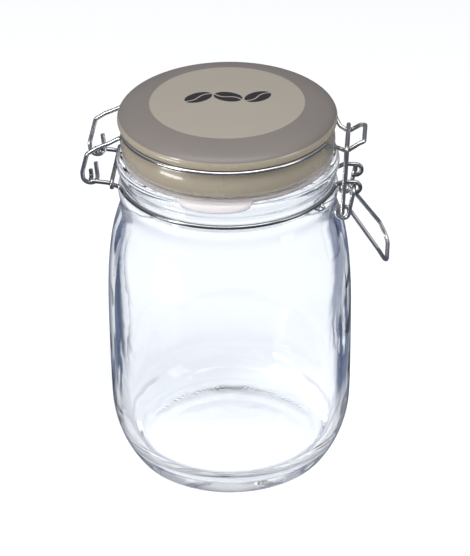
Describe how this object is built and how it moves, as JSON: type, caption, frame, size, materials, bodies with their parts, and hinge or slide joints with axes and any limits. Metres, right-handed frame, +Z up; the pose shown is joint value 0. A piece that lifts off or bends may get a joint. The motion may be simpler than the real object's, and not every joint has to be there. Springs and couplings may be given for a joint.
{
  "type": "food canister",
  "caption": "Clip-top glass storage canister with domed glazed ceramic lid, silicone seal with pull tab and sprung wire latch and hinge",
  "frame": {"origin": "middle of the foot ring, on the surface the jar stands on", "axes": "+Z up; +X to the latch, -X to the hinge; the wire fittings are symmetric about the XZ plane"},
  "size_m": [0.1349, 0.1094, 0.1766],
  "materials": {
    "clear_glass": "clear pressed glass",
    "glazed_ceramic": "glossy glaze, taupe and cream",
    "silicone": "translucent soft silicone",
    "steel_wire": "bright drawn steel wire"
  },
  "bodies": {
    "jar": {"jar_body": "clear_glass", "neck_wire_near": "steel_wire", "neck_wire_far": "steel_wire", "neck_bridge": "steel_wire"},
    "lid": {"lid": "glazed_ceramic", "lid_wire": "steel_wire", "lid_seal": "silicone"},
    "lever": {"lever": "steel_wire"},
    "link": {"latch_link": "steel_wire"}
  },
  "joints": [
    {"name": "lid_hinge", "type": "hinge", "parent": "jar", "child": "lid", "pos_m": [-0.059, 0, 0.14315], "axis": [0, -1, 0], "range_deg": [0, 110]},
    {"name": "lever_pivot", "type": "hinge", "parent": "jar", "child": "lever", "pos_m": [0.0557, 0, 0.1402], "axis": [0, -1, 0], "range_deg": [0, 120]},
    {"name": "link_swing", "type": "hinge", "parent": "lever", "child": "link", "pos_m": [0.0509, 0, 0.1294], "axis": [0, -1, 0], "range_deg": [-135, 0], "deforming": ["latch_link"]}
  ],
  "couplings": [
    {"joint": "link_swing", "follows": "lever_pivot", "ratio": -1.1}
  ]
}
